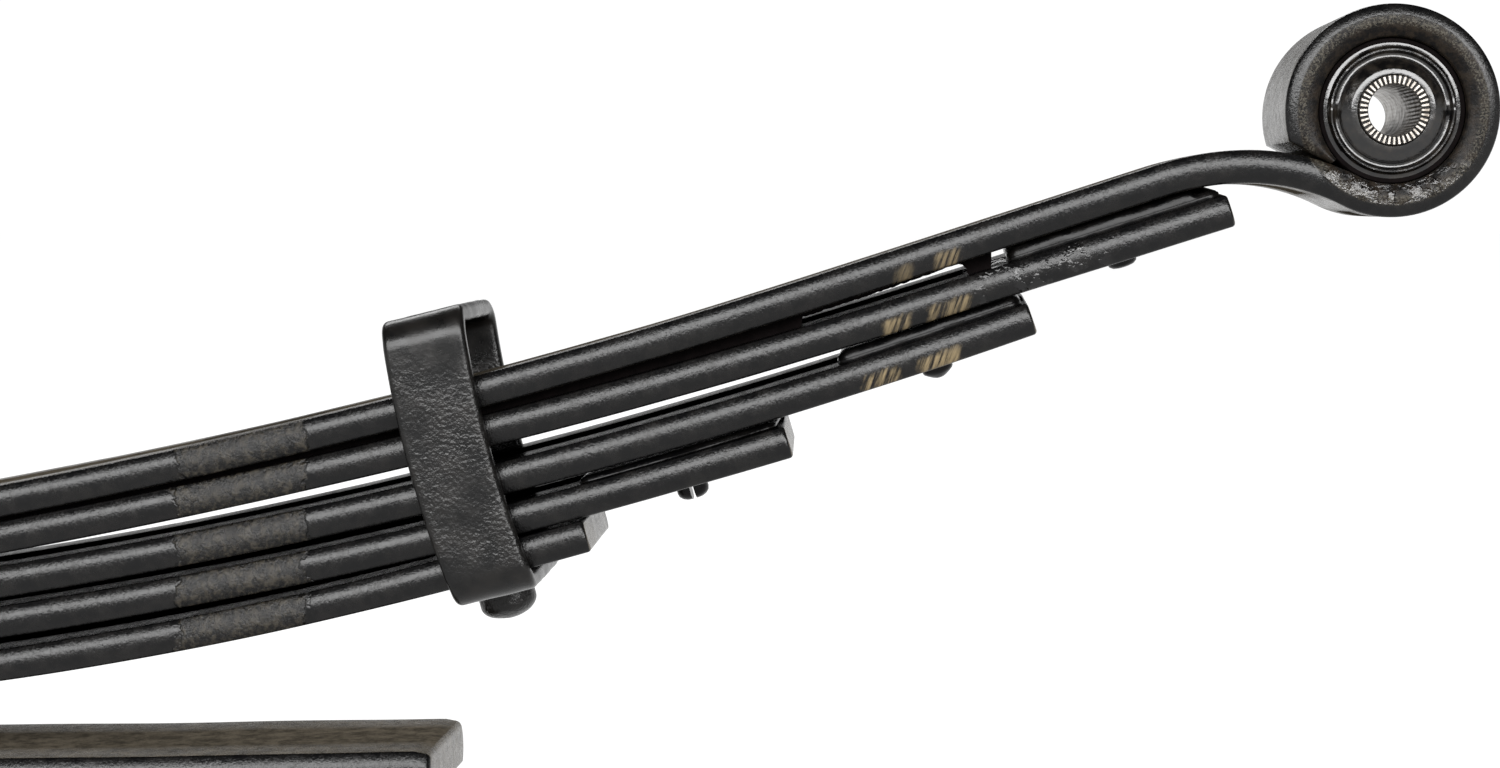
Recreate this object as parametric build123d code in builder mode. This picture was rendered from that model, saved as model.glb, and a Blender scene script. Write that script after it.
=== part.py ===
from build123d import *
from math import cos, radians, sin, sqrt
import os

# Multi-leaf spring with rolled eyes: five graduated leaves on a helper leaf, bolted at the centre.
# X runs along the spring, Y across the leaves, Z up. The origin is on the centre bolt's axis, in
# the seat face that lies on the axle. The front half is modelled and the rear half mirrors it.

# leaves
LEAF_WIDTH = 63.5
LEAF_THICKNESS = 9.0
EDGE_BOW_RATIO = 0.75
LEAF_CORNER_RADIUS = 1.2
LEAF_TIP_RADIUS = 1.0
SEAT_HALF_LENGTH = 50.0
HELPER_THICKNESS = 12.0
HELPER_PLAN_RADIUS = 2.5
HELPER_TIP_X = 434.1
SPACER_THICKNESS = 9.0

# bends of one half of each leaf, outward from the flat seat: (radius, angle in degrees)
MAIN_BENDS = [(1290.0, 9.6), (1960.0, 8.4)]
SECOND_BENDS = [(1370.0, 10.4), (2240.0, 7.2)]
THIRD_BENDS = [(1600.0, 10.4), (1690.0, 9.0)]
FOURTH_BENDS = [(1920.0, 4.1), (1480.0, 13.4)]
FIFTH_BENDS = [(2560.0, 3.6), (1150.0, 12.5)]
HELPER_BENDS = [(13000.0, 1.5)]
SECOND_TIP_X = 656.6
THIRD_TIP_X = 602.3
FOURTH_TIP_X = 533.9
FIFTH_TIP_X = 477.9

# rolled eye of the main leaf
EYE_X = 700.0
EYE_BORE_RADIUS = 20.1
NECK_DROP_RADIUS = 77.0
NECK_DIP_RADIUS = 60.0
NECK_DIP_ANGLE = 27.2
EYE_ROLL_ANGLE = 314.2
ROLL_END_OUTER_ANGLE = 17.0
ROLL_END_INNER_ANGLE = 41.0
ROLL_END_INNER_RADIUS = 22.0
SPOT_FACE_RADIUS = 25.8
SPOT_FACE_DEPTH = 0.7

# rubber bush, pressed into each eye
SHELL_WALL = 1.5
SHELL_LENGTH = 57.0
PRESS_GAP = 0.05
SLEEVE_RADIUS = 9.5
SLEEVE_BORE_RADIUS = 7.1
SLEEVE_LENGTH = 67.5
SERRATION_COUNT = 40
SERRATION_DEPTH = 0.6
SERRATION_WIDTH = 0.7
RUBBER_RUNNING_GAP = 0.05

# centre bolt
BOLT_RADIUS = 6.0
BOLT_HOLE_RADIUS = 6.1
LOCATING_HEAD_RADIUS = 9.5
LOCATING_HEAD_HEIGHT = 8.0
NUT_ACROSS_FLATS = 19.0
NUT_HEIGHT = 10.0
BOLT_TAIL = 3.0

# rebound clip, a closed band around the five leaves, riveted under the fifth
CLIP_SETBACK = 29.6
CLIP_LEAN = 1.8
CLIP_WIDTH = 23.5
CLIP_THICKNESS = 5.0
CLIP_INNER_WIDTH = 64.8
CLIP_INNER_HEIGHT = 72.4
CLIP_SEAT_GAP = 0.45
CLIP_BEND_RADIUS = 8.5
CLIP_EDGE_RADIUS = 1.8
RIVET_RADIUS = 5.0
RIVET_HOLE_RADIUS = 5.1
RIVET_HEAD_RADIUS = 8.3
RIVET_HEAD_WALL = 4.0
RIVET_HEAD_HEIGHT = 8.7
RIVET_TAIL_RADIUS = 7.0
RIVET_TAIL_HEIGHT = 1.2
RIVET_TAIL_GAP = 0.06

# anti-friction pads on the leaf tips, each held by a peg through its leaf
SECOND_PAD_THICKNESS = 3.7
THIRD_PAD_THICKNESS = 3.2
FOURTH_PAD_THICKNESS = 1.8
SECOND_PAD_LENGTH = 61.1
THIRD_PAD_LENGTH = 53.8
FOURTH_PAD_LENGTH = 57.9
PAD_WIDTH = 54.0
PAD_CORNER_RADIUS = 5.0
PAD_TIP_SETBACK = 1.5
SECOND_PAD_LIP_LENGTH = 8.5
SECOND_PAD_LIP_HEIGHT = 2.4
SECOND_PEG_SETBACK = 31.4
THIRD_PEG_SETBACK = 29.9
FOURTH_PEG_SETBACK = 31.5
PEG_RADIUS = 4.5
PEG_HOLE_RADIUS = 4.6
PEG_SLOT_WIDTH = 1.0
FLAT_HEAD_HEIGHT = 3.5
FLAT_HEAD_TAPER = 22.0
POINTED_HEAD_STRAIGHT = 2.6
POINTED_HEAD_POINT = 2.2
POINTED_HEAD_TAPER = 52.0
SPLIT_HEAD_STRAIGHT = 3.4
SPLIT_HEAD_POINT = 2.1
SPLIT_HEAD_TAPER = 40.0

os.makedirs("parts", exist_ok=True)

# height of each leaf's centre line over the seat
HELPER_HEIGHT = HELPER_THICKNESS / 2
FIFTH_HEIGHT = HELPER_THICKNESS + SPACER_THICKNESS + LEAF_THICKNESS / 2
FOURTH_HEIGHT = FIFTH_HEIGHT + LEAF_THICKNESS
THIRD_HEIGHT = FOURTH_HEIGHT + LEAF_THICKNESS
SECOND_HEIGHT = THIRD_HEIGHT + LEAF_THICKNESS
MAIN_HEIGHT = SECOND_HEIGHT + LEAF_THICKNESS
STACK_TOP = MAIN_HEIGHT + LEAF_THICKNESS / 2
EYE_OUTER_RADIUS = EYE_BORE_RADIUS + LEAF_THICKNESS
SPOT_FACE_HALF_WIDTH = LEAF_WIDTH / 2 - SPOT_FACE_DEPTH


def write(piece, name):
    """Label one piece and write its STEP file."""
    piece.part.label = name
    export_step(piece.part, f"parts/{name}.step")


def write_pair(piece, name):
    """Write a piece of the front half, and its mirror image in the rear half."""
    write(piece, f"front_{name}")
    with BuildPart() as twin:
        mirror(piece.part, about=Plane.YZ)
    write(twin, f"rear_{name}")


def half_spine(height, bends, tip_x):
    """Centre line of one half of a leaf: the flat seat, the bends, then straight to the tip."""
    with BuildLine(Plane.XZ) as spine:
        last = Line((0, height), (SEAT_HALF_LENGTH, height))
        for radius, angle in bends:
            last = JernArc(last @ 1, last % 1, radius, angle)
        heading = last % 1
        Line(last @ 1, last @ 1 + heading * ((tip_x - (last @ 1).X) / heading.X))
    return spine.wire()


def main_spine():
    """Centre line of half the main leaf: it dips at the neck, passes under the eye and rolls up."""
    roll_radius = EYE_BORE_RADIUS + LEAF_THICKNESS / 2
    rise = radians(sum(angle for _, angle in MAIN_BENDS))
    dip = radians(NECK_DIP_ANGLE)
    neck_x = NECK_DROP_RADIUS * sin(rise) + (NECK_DIP_RADIUS + roll_radius) * sin(dip)
    with BuildLine(Plane.XZ) as spine:
        last = Line((0, MAIN_HEIGHT), (SEAT_HALF_LENGTH, MAIN_HEIGHT))
        for radius, angle in MAIN_BENDS:
            last = JernArc(last @ 1, last % 1, radius, angle)
        heading = last % 1
        flank = (EYE_X - neck_x - (last @ 1).X) / heading.X
        straight = Line(last @ 1, last @ 1 + heading * flank)
        drop = JernArc(straight @ 1, straight % 1, NECK_DROP_RADIUS, -sum(a for _, a in MAIN_BENDS))
        under = JernArc(drop @ 1, drop % 1, NECK_DIP_RADIUS, -NECK_DIP_ANGLE)
        JernArc(under @ 1, under % 1, roll_radius, EYE_ROLL_ANGLE)
    entry = under @ 1
    centre_z = entry.Z + roll_radius * cos(dip)
    return spine.wire(), centre_z


def across(spine, setback):
    """Plane across a leaf, a distance back from its tip: X across the spring, Y up, Z to the tip."""
    station = spine.length - setback
    point = spine.position_at(station, position_mode=PositionMode.LENGTH)
    along = spine.tangent_at(station, position_mode=PositionMode.LENGTH)
    return Plane(origin=point, x_dir=(0, 1, 0), z_dir=along)


def upright(section):
    """Plane lying in a leaf, with its Z along the section plane's up direction."""
    return Plane(origin=section.origin, x_dir=section.z_dir, z_dir=section.y_dir)


def leaf(spine, height, thickness, tip_radius=0.0, peg=None, hole_radius=PEG_HOLE_RADIUS):
    """One whole leaf: a bar with bowed edges bent along its centre line, drilled for the bolt."""
    bow_radius = EDGE_BOW_RATIO * thickness
    flat = LEAF_WIDTH / 2 - bow_radius + sqrt(bow_radius**2 - thickness**2 / 4)
    low, high = height - thickness / 2, height + thickness / 2
    with BuildPart() as bar:
        with BuildSketch(Plane.YZ) as section:
            with BuildLine():
                Line((-flat, low), (flat, low))
                ThreePointArc((flat, low), (LEAF_WIDTH / 2, height), (flat, high))
                Line((flat, high), (-flat, high))
                ThreePointArc((-flat, high), (-LEAF_WIDTH / 2, height), (-flat, low))
            make_face()
            fillet(section.vertices(), LEAF_CORNER_RADIUS)
        sweep(path=spine)
        if tip_radius:
            end = bar.faces().sort_by_distance(spine @ 1)[0]
            fillet(end.edges(), tip_radius)
        if peg is not None:
            with BuildSketch(upright(peg)):
                Circle(hole_radius)
            extrude(amount=thickness, both=True, mode=Mode.SUBTRACT)
        mirror(about=Plane.YZ)
        with BuildSketch(Plane.XY.offset(height)):
            Circle(BOLT_HOLE_RADIUS)
        extrude(amount=thickness, both=True, mode=Mode.SUBTRACT)
    return bar


def about_eye(radius, angle):
    """Point (X, Z) at a radius from the eye's axis, its angle in degrees below the rearward level."""
    return (EYE_X - radius * cos(radians(angle)), EYE_Z - radius * sin(radians(angle)))


def tip_pad(spine, height, thickness, length, peg_head):
    """Pad lying on a leaf's tip, with its peg through the leaf and a snap head beneath it."""
    tip_x = (spine @ 1).X - PAD_TIP_SETBACK
    with BuildPart() as pad:
        with BuildSketch(Plane.YZ):
            with Locations((0, height + (LEAF_THICKNESS + thickness) / 2)):
                Rectangle(PAD_WIDTH, thickness)
        sweep(path=spine)
        with BuildSketch(Plane.XY):
            with Locations((tip_x - length / 2, 0)):
                RectangleRounded(length, PAD_WIDTH, PAD_CORNER_RADIUS)
        extrude(amount=STACK_TOP * 4, mode=Mode.INTERSECT)
        add(peg_head)
    return pad


def lip_cutter(spine):
    """Block that lowers a pad to a thin lip at the tip of its leaf."""
    lip_top = upright(across(spine, 0)).offset(LEAF_THICKNESS / 2 + SECOND_PAD_LIP_HEIGHT)
    with BuildPart() as block:
        with BuildSketch(lip_top):
            Rectangle(2 * SECOND_PAD_LIP_LENGTH, LEAF_WIDTH)
        extrude(amount=SECOND_PAD_THICKNESS)
    return block.part


def peg_root(peg):
    """Plane in a leaf's underside at its peg, with Z up along the peg."""
    return upright(peg).offset(-LEAF_THICKNESS / 2)


def flat_peg(peg, pad_thickness):
    """Peg whose head under the leaf is a flattened dome."""
    root = peg_root(peg)
    with BuildPart() as body:
        with BuildSketch(root):
            Circle(PEG_RADIUS)
        extrude(amount=LEAF_THICKNESS + pad_thickness / 2)
        with BuildSketch(root):
            Circle(PEG_RADIUS)
        extrude(amount=-FLAT_HEAD_HEIGHT, taper=FLAT_HEAD_TAPER)
    return body.part


def pointed_peg(peg, pad_thickness):
    """Peg whose head under the leaf is straight at first, then pointed."""
    root = peg_root(peg)
    with BuildPart() as body:
        with BuildSketch(root.offset(-POINTED_HEAD_STRAIGHT)):
            Circle(PEG_RADIUS)
        extrude(amount=POINTED_HEAD_STRAIGHT + LEAF_THICKNESS + pad_thickness / 2)
        with BuildSketch(root.offset(-POINTED_HEAD_STRAIGHT)):
            Circle(PEG_RADIUS)
        extrude(amount=-POINTED_HEAD_POINT, taper=POINTED_HEAD_TAPER)
    return body.part


def split_peg(peg, pad_thickness):
    """Peg whose head under the leaf is two springy prongs, with a slot between them."""
    root = peg_root(peg)
    with BuildPart() as body:
        with BuildSketch(root.offset(-SPLIT_HEAD_STRAIGHT)):
            Circle(PEG_RADIUS)
        extrude(amount=SPLIT_HEAD_STRAIGHT + LEAF_THICKNESS + pad_thickness / 2)
        with BuildSketch(root.offset(-SPLIT_HEAD_STRAIGHT)):
            Circle(PEG_RADIUS)
        extrude(amount=-SPLIT_HEAD_POINT, taper=SPLIT_HEAD_TAPER)
        with BuildSketch(root):
            Rectangle(PEG_SLOT_WIDTH, 3 * PEG_RADIUS)
        extrude(amount=-SPLIT_HEAD_STRAIGHT - SPLIT_HEAD_POINT, mode=Mode.SUBTRACT)
    return body.part


# leaves, from the axle up

main_line, EYE_Z = main_spine()
second_line = half_spine(SECOND_HEIGHT, SECOND_BENDS, SECOND_TIP_X)
third_line = half_spine(THIRD_HEIGHT, THIRD_BENDS, THIRD_TIP_X)
fourth_line = half_spine(FOURTH_HEIGHT, FOURTH_BENDS, FOURTH_TIP_X)
fifth_line = half_spine(FIFTH_HEIGHT, FIFTH_BENDS, FIFTH_TIP_X)
helper_line = half_spine(HELPER_HEIGHT, HELPER_BENDS, HELPER_TIP_X)

second_peg = across(second_line, SECOND_PEG_SETBACK)
third_peg = across(third_line, THIRD_PEG_SETBACK)
fourth_peg = across(fourth_line, FOURTH_PEG_SETBACK)
clip_section = across(fifth_line, CLIP_SETBACK)

# the main leaf's rolled end is cut on a slant to lie close over the leaf, and the sides of the
# eyes are spot-faced flat
with BuildPart() as main_leaf:
    add(leaf(main_line, MAIN_HEIGHT, LEAF_THICKNESS).part)
    with BuildPart(mode=Mode.PRIVATE) as roll_end:
        with BuildSketch(Plane.XZ):
            with BuildLine():
                bore = CenterArc((EYE_X, EYE_Z), EYE_BORE_RADIUS, 180, ROLL_END_INNER_ANGLE)
                Polyline(
                    bore @ 1,
                    about_eye(ROLL_END_INNER_RADIUS, ROLL_END_INNER_ANGLE),
                    about_eye(EYE_OUTER_RADIUS, ROLL_END_OUTER_ANGLE),
                    about_eye(EYE_BORE_RADIUS + LEAF_THICKNESS / 2, 0),
                    bore @ 0,
                )
            make_face()
        extrude(amount=SPOT_FACE_HALF_WIDTH, both=True)
        mirror(about=Plane.YZ)
    add(roll_end.part)
    with BuildPart(mode=Mode.PRIVATE) as spot_faces:
        for face_side in (-1, 1):
            with BuildSketch(Plane.XZ.offset(face_side * SPOT_FACE_HALF_WIDTH)):
                with Locations((EYE_X, EYE_Z)):
                    Circle(SPOT_FACE_RADIUS)
            extrude(amount=face_side * LEAF_THICKNESS)
        mirror(about=Plane.YZ)
    add(spot_faces.part, mode=Mode.SUBTRACT)
write(main_leaf, "main_leaf")
second_leaf = leaf(second_line, SECOND_HEIGHT, LEAF_THICKNESS, LEAF_TIP_RADIUS, second_peg)
write(second_leaf, "second_leaf")
third_leaf = leaf(third_line, THIRD_HEIGHT, LEAF_THICKNESS, LEAF_TIP_RADIUS, third_peg)
write(third_leaf, "third_leaf")
fourth_leaf = leaf(fourth_line, FOURTH_HEIGHT, LEAF_THICKNESS, LEAF_TIP_RADIUS, fourth_peg)
write(fourth_leaf, "fourth_leaf")
fifth_leaf = leaf(
    fifth_line, FIFTH_HEIGHT, LEAF_THICKNESS, LEAF_TIP_RADIUS, clip_section, RIVET_HOLE_RADIUS
)
write(fifth_leaf, "fifth_leaf")

with BuildPart() as helper_leaf:
    add(leaf(helper_line, HELPER_HEIGHT, HELPER_THICKNESS).part)
    with BuildSketch(Plane.XY.offset(-HELPER_THICKNESS)):
        RectangleRounded(2 * HELPER_TIP_X, LEAF_WIDTH + 1, HELPER_PLAN_RADIUS)
    extrude(amount=4 * HELPER_THICKNESS, mode=Mode.INTERSECT)
write(helper_leaf, "helper_leaf")

# spacer plate, between the helper leaf and the fifth leaf

with BuildPart() as spacer_plate:
    with BuildSketch(Plane.XY.offset(HELPER_THICKNESS)):
        RectangleRounded(2 * SEAT_HALF_LENGTH, LEAF_WIDTH, HELPER_PLAN_RADIUS)
        Circle(BOLT_HOLE_RADIUS, mode=Mode.SUBTRACT)
    extrude(amount=SPACER_THICKNESS)
write(spacer_plate, "spacer_plate")

# centre bolt, with the round head that locates the spring in its axle seat

with BuildPart() as centre_bolt:
    with BuildSketch(Plane.XY):
        Circle(LOCATING_HEAD_RADIUS)
    extrude(amount=-LOCATING_HEAD_HEIGHT)
    chamfer(centre_bolt.faces().sort_by(Axis.Z)[0].edges(), 1.0)
    with BuildSketch(Plane.XY):
        Circle(BOLT_RADIUS)
    extrude(amount=STACK_TOP + NUT_HEIGHT + BOLT_TAIL)
    chamfer(centre_bolt.faces().sort_by(Axis.Z)[-1].edges(), 1.0)
write(centre_bolt, "centre_bolt")

with BuildPart() as centre_nut:
    with BuildSketch(Plane.XY.offset(STACK_TOP)):
        RegularPolygon(NUT_ACROSS_FLATS / 2, 6, major_radius=False)
        Circle(BOLT_RADIUS, mode=Mode.SUBTRACT)
    extrude(amount=NUT_HEIGHT)
write(centre_nut, "centre_nut")

# bush in the eye: steel shell, moulded rubber, serrated inner sleeve

eye_plane = Plane(origin=(EYE_X, 0, EYE_Z), x_dir=(1, 0, 0), z_dir=(0, -1, 0))
profile_plane = Plane(origin=(EYE_X, 0, EYE_Z), x_dir=(1, 0, 0), z_dir=(0, 0, 1))
bush_axis = Axis((EYE_X, 0, EYE_Z), (0, 1, 0))
shell_radius = EYE_BORE_RADIUS - PRESS_GAP
rubber_radius = shell_radius - SHELL_WALL

with BuildPart() as bush_shell:
    with BuildSketch(eye_plane):
        Circle(shell_radius)
        Circle(rubber_radius, mode=Mode.SUBTRACT)
    extrude(amount=SHELL_LENGTH / 2, both=True)
    chamfer(bush_shell.faces().filter_by(Axis.Y).edges(), 0.4)
write_pair(bush_shell, "bush_shell")

with BuildPart() as bush_rubber:
    with BuildSketch(profile_plane):
        with BuildLine():
            # half of the moulding's section, from its middle out along its end face
            Polyline(
                (SLEEVE_RADIUS + RUBBER_RUNNING_GAP, 0),
                (SLEEVE_RADIUS + RUBBER_RUNNING_GAP, 32.2),
                (11.4, 32.2),
                (14.2, 30.2),
                (14.6, 29.0),
                (16.0, 29.0),
                (16.2, 30.2),
                (17.0, 30.2),
                (17.3, 28.6),
                (rubber_radius, 28.4),
                (rubber_radius, 0),
                close=True,
            )
        make_face()
        mirror(about=Plane.XZ)
    revolve(axis=bush_axis)
write_pair(bush_rubber, "bush_rubber")

with BuildPart() as bush_sleeve:
    with BuildSketch(eye_plane):
        Circle(SLEEVE_RADIUS)
        Circle(SLEEVE_BORE_RADIUS, mode=Mode.SUBTRACT)
    extrude(amount=SLEEVE_LENGTH / 2, both=True)
    for face_side in (-1, 1):
        with BuildSketch(eye_plane.offset(face_side * (SLEEVE_LENGTH / 2 - SERRATION_DEPTH))):
            with PolarLocations((SLEEVE_RADIUS + SLEEVE_BORE_RADIUS) / 2, SERRATION_COUNT):
                Rectangle(SLEEVE_RADIUS - SLEEVE_BORE_RADIUS + 1, SERRATION_WIDTH)
        extrude(amount=face_side * SERRATION_DEPTH * 2, mode=Mode.SUBTRACT)
write_pair(bush_sleeve, "bush_sleeve")

# rebound clip and its rivet

clip_up = clip_section.y_dir
clip_foot = clip_section.origin - clip_up * (LEAF_THICKNESS / 2 + CLIP_SEAT_GAP)
clip_along = clip_section.z_dir.rotate(Axis.Y, CLIP_LEAN)
clip_plane = Plane(origin=clip_foot, x_dir=(0, 1, 0), z_dir=clip_along)
rivet_plane = Plane(origin=clip_foot, x_dir=clip_section.z_dir, z_dir=(0, -1, 0))

with BuildPart() as rebound_clip:
    with BuildSketch(clip_plane.offset(-CLIP_WIDTH / 2)):
        with Locations((0, CLIP_INNER_HEIGHT / 2)):
            RectangleRounded(
                CLIP_INNER_WIDTH + 2 * CLIP_THICKNESS,
                CLIP_INNER_HEIGHT + 2 * CLIP_THICKNESS,
                CLIP_BEND_RADIUS,
            )
            RectangleRounded(
                CLIP_INNER_WIDTH,
                CLIP_INNER_HEIGHT,
                CLIP_BEND_RADIUS - CLIP_THICKNESS,
                mode=Mode.SUBTRACT,
            )
    extrude(amount=CLIP_WIDTH)
    fillet(rebound_clip.faces().filter_by(clip_plane).edges(), CLIP_EDGE_RADIUS)
    with BuildSketch(upright(clip_section)):
        Circle(RIVET_HOLE_RADIUS)
    extrude(amount=-3 * CLIP_THICKNESS, mode=Mode.SUBTRACT)
write_pair(rebound_clip, "rebound_clip")

with BuildPart() as clip_rivet:
    with BuildSketch(rivet_plane):
        with BuildLine():
            head_top = -CLIP_THICKNESS - CLIP_LEAN / 4
            rim = head_top - RIVET_HEAD_WALL
            crown = head_top - RIVET_HEAD_HEIGHT
            dome = EllipticalCenterArc(
                (0, rim), RIVET_HEAD_RADIUS, rim - crown, start_angle=270, arc_size=90
            )
            tail = CLIP_SEAT_GAP + LEAF_THICKNESS + RIVET_TAIL_GAP
            Polyline(
                dome @ 1,
                (RIVET_HEAD_RADIUS, head_top),
                (RIVET_RADIUS, head_top),
                (RIVET_RADIUS, tail),
                (RIVET_TAIL_RADIUS, tail),
                (RIVET_TAIL_RADIUS, tail + RIVET_TAIL_HEIGHT),
                (0, tail + RIVET_TAIL_HEIGHT),
                (0, crown),
            )
        make_face()
    revolve(axis=Axis(clip_foot, clip_up))
write_pair(clip_rivet, "clip_rivet")

# tip pads

second_pad = tip_pad(
    second_line,
    SECOND_HEIGHT,
    SECOND_PAD_THICKNESS,
    SECOND_PAD_LENGTH,
    flat_peg(second_peg, SECOND_PAD_THICKNESS),
)
second_pad.part -= lip_cutter(second_line)
write_pair(second_pad, "second_leaf_pad")
third_pad = tip_pad(
    third_line,
    THIRD_HEIGHT,
    THIRD_PAD_THICKNESS,
    THIRD_PAD_LENGTH,
    pointed_peg(third_peg, THIRD_PAD_THICKNESS),
)
write_pair(third_pad, "third_leaf_pad")
fourth_pad = tip_pad(
    fourth_line,
    FOURTH_HEIGHT,
    FOURTH_PAD_THICKNESS,
    FOURTH_PAD_LENGTH,
    split_peg(fourth_peg, FOURTH_PAD_THICKNESS),
)
write_pair(fourth_pad, "fourth_leaf_pad")
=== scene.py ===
import math

import bpy
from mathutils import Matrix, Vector, noise


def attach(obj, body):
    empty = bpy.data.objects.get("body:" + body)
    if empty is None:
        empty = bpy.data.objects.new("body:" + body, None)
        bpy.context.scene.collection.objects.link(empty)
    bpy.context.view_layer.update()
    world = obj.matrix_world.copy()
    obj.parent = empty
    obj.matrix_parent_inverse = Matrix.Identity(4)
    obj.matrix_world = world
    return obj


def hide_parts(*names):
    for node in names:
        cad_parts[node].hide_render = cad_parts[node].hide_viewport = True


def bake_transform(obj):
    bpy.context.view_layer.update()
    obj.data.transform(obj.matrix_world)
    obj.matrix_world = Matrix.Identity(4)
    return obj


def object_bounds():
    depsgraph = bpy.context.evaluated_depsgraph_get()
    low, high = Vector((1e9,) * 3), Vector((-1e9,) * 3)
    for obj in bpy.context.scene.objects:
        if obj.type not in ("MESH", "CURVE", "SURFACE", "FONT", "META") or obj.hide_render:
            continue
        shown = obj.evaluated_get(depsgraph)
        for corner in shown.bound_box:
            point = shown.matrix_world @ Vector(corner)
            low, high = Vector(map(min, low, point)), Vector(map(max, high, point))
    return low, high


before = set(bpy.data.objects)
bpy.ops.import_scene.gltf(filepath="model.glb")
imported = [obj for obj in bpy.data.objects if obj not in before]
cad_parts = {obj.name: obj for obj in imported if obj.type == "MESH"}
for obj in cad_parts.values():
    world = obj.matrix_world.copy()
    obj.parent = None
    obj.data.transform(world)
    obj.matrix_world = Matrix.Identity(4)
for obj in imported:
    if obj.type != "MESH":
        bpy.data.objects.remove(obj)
cad_low, cad_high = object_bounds()

# ---------------------------------------------------------------- dimensions, in millimetres

MM = 0.001
LEAF_WIDTH = 63.5
LEAF_THICKNESS = 9.0
EDGE_BOW_RATIO = 0.75
LEAF_CORNER_RADIUS = 1.2
SEAT_HALF_LENGTH = 50.0
HELPER_THICKNESS = 12.0
SPACER_THICKNESS = 9.0
EYE_X = 700.0
EYE_BORE_RADIUS = 20.1
ROLL_RADIUS = EYE_BORE_RADIUS + LEAF_THICKNESS / 2
NECK_DROP_RADIUS = 77.0
NECK_DIP_RADIUS = 60.0
NECK_DIP_ANGLE = 27.2
EYE_ROLL_ANGLE = 314.2
ROLL_END_OUTER_ANGLE = 17.0
ROLL_END_INNER_ANGLE = 41.0
ROLL_END_INNER_RADIUS = 22.0
SPOT_FACE_RADIUS = 25.8
SPOT_FACE_DEPTH = 0.7
SPOT_FACE_CUTTER_LENGTH = 9

SLEEVE_RADIUS = 9.5
SLEEVE_BORE_RADIUS = 7.1
SLEEVE_LENGTH = 67.5
SERRATION_COUNT = 40
SERRATION_DEPTH = 0.6
SHELL_LENGTH = 57.0
SHELL_RADIUS = EYE_BORE_RADIUS - 0.05

HELPER_HEIGHT = HELPER_THICKNESS / 2
FIFTH_HEIGHT = HELPER_THICKNESS + SPACER_THICKNESS + LEAF_THICKNESS / 2
FOURTH_HEIGHT = FIFTH_HEIGHT + LEAF_THICKNESS
THIRD_HEIGHT = FOURTH_HEIGHT + LEAF_THICKNESS
SECOND_HEIGHT = THIRD_HEIGHT + LEAF_THICKNESS
MAIN_HEIGHT = SECOND_HEIGHT + LEAF_THICKNESS
STACK_TOP = MAIN_HEIGHT + LEAF_THICKNESS / 2

MAIN_BENDS = [(1290.0, 9.6), (1960.0, 8.4)]
SECOND_BENDS = [(1370.0, 10.4), (2240.0, 7.2)]
THIRD_BENDS = [(1600.0, 10.4), (1690.0, 9.0)]
FOURTH_BENDS = [(1920.0, 4.1), (1480.0, 13.4)]
FIFTH_BENDS = [(2560.0, 3.6), (1150.0, 12.5)]
HELPER_BENDS = [(13000.0, 1.5)]
SECOND_TIP_X = 656.6
THIRD_TIP_X = 602.3
FOURTH_TIP_X = 533.9
FIFTH_TIP_X = 477.9
HELPER_TIP_X = 434.1

# rolling leaves these a little twisted towards their tips: rise of the near and far edges
SECOND_TWIST = (-0.25, 1.75)
THIRD_TWIST = (-0.1, 1.25)
FOURTH_TWIST = (-0.55, 0.0)
HELPER_TWIST = (0.85, -0.1)
TWIST_START_X = 340.0
TWIST_END_X = 500.0
TIP_SKEW_REACH = 25.0
# how far the far corner of a sheared tip falls short of the near one
FOURTH_TIP_SKEW = 2.3
FIFTH_TIP_SKEW = 1.3

# ---------------------------------------------------------------- centre lines


def walk(x, z, heading, runs, step):
    """Stations (x, z, heading) along runs of (length, curvature), about step apart."""
    stations = [(x, z, heading)]
    for length, curvature in runs:
        count = max(2, round(length / step))
        x0, z0, h0 = stations[-1]
        for i in range(1, count + 1):
            s = length * i / count
            h = h0 + s * curvature
            if curvature:
                dx = (math.sin(h) - math.sin(h0)) / curvature
                dz = (math.cos(h0) - math.cos(h)) / curvature
            else:
                dx, dz = s * math.cos(h0), s * math.sin(h0)
            stations.append((x0 + dx, z0 + dz, h))
    return stations


def bend_runs(bends):
    return [(radius * math.radians(angle), 1 / radius) for radius, angle in bends]


def half_line(height, bends, tip_x, step=2.5):
    """Half a leaf's centre line, from the centre bolt to the tip."""
    line = walk(0.0, height, 0.0, [(SEAT_HALF_LENGTH, 0.0)] + bend_runs(bends), step)
    x, z, heading = line[-1]
    return line + walk(x, z, heading, [((tip_x - x) / math.cos(heading), 0.0)], step)[1:]


def main_line(step=2.5, roll_step=1.4):
    """Half the main leaf's centre line, through the neck and round the eye; and the eye's height."""
    rise = math.radians(sum(angle for _, angle in MAIN_BENDS))
    dip = math.radians(NECK_DIP_ANGLE)
    line = walk(0.0, MAIN_HEIGHT, 0.0, [(SEAT_HALF_LENGTH, 0.0)] + bend_runs(MAIN_BENDS), step)
    x, z, heading = line[-1]
    neck_x = NECK_DROP_RADIUS * math.sin(rise) + (NECK_DIP_RADIUS + ROLL_RADIUS) * math.sin(dip)
    flank = (EYE_X - neck_x - x) / math.cos(heading)
    neck = [(flank, 0.0), (NECK_DROP_RADIUS * rise, -1 / NECK_DROP_RADIUS)]
    neck += [(NECK_DIP_RADIUS * dip, -1 / NECK_DIP_RADIUS)]
    line += walk(x, z, heading, neck, step)[1:]
    x, z, heading = line[-1]
    roll = [(ROLL_RADIUS * math.radians(EYE_ROLL_ANGLE), 1 / ROLL_RADIUS)]
    line += walk(x, z, heading, roll, roll_step)[1:]
    return line, z + ROLL_RADIUS * math.cos(dip)


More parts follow.
